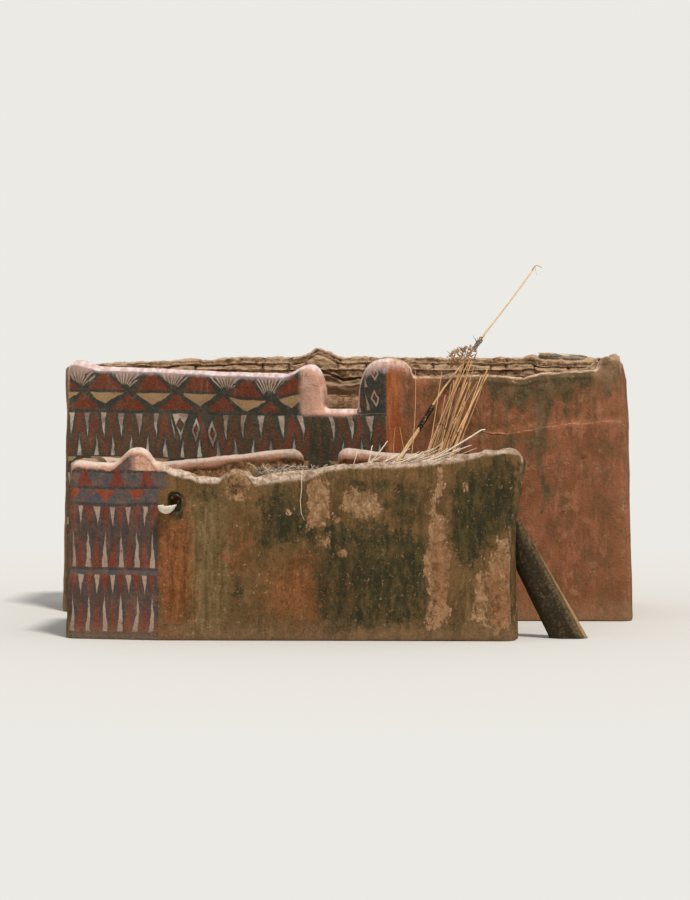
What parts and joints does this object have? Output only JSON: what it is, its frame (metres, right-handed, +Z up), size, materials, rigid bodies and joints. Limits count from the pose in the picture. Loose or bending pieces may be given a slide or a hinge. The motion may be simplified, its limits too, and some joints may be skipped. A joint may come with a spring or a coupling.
{
  "type": "adobe house",
  "caption": "Flat-roofed earth house with a painted wing, horned parapets with a notch, a plain red wall, a worn back parapet and a low brush-covered annex in front.",
  "frame": {"origin": "on the ground, below the middle of the whole part's bounding box", "axes": "+X along the front to the right, +Y from the front to the back, +Z up"},
  "size_m": [6.1788, 4.735, 3.81],
  "materials": {
    "floor_earth": "beaten earth",
    "red_plaster": "matt red earth plaster with dark water stains",
    "mural_plaster": "burnished earth paint in slate, red, ochre and white",
    "side_plaster": "matt brown earth plaster",
    "annex_plaster": "matt brown earth plaster with dark mould",
    "worn_earth": "rough worn earth",
    "roof_earth": "beaten earth",
    "roof_wood": "rough wood darkened by smoke",
    "weathered_wood": "grey weathered wood",
    "brush": "dry twigs",
    "straw": "dry stalks",
    "pot_clay": "pale worn potsherd"
  },
  "bodies": {
    "root": {"house_floor": "floor_earth", "annex_floor": "floor_earth", "red_wall_left": "red_plaster", "red_wall_right": "red_plaster", "painted_wall_left": "mural_plaster", "painted_wall_horn": "mural_plaster", "notch_wall": "mural_plaster", "bend_horn_wall": "mural_plaster", "annex_painted_wall": "mural_plaster", "right_side_wall": "side_plaster", "left_side_wall": "side_plaster", "back_wall_right": "side_plaster", "back_wall_over_door": "side_plaster", "back_wall_left": "side_plaster", "annex_front_left": "annex_plaster", "annex_front_middle": "annex_plaster", "annex_front_right": "annex_plaster", "annex_end_front": "annex_plaster", "annex_end_over_door": "annex_plaster", "annex_end_back": "annex_plaster", "annex_back_right": "annex_plaster", "annex_back_broken": "annex_plaster", "annex_back_left": "annex_plaster", "annex_left_end": "annex_plaster", "worn_course_1": "worn_earth", "worn_course_2": "worn_earth", "worn_course_3": "worn_earth", "worn_course_4": "worn_earth", "roof_rubble": "worn_earth", "house_roof_earth": "roof_earth", "annex_roof_earth": "roof_earth", "house_beams": "roof_wood", "house_roof_poles": "roof_wood", "annex_beams": "roof_wood", "annex_roof_poles": "roof_wood", "parapet_stick": "weathered_wood", "leaning_log": "weathered_wood", "long_pole": "weathered_wood", "brushwood": "brush", "stalks": "straw", "drain_spout": "pot_clay"}
  },
  "joints": []
}
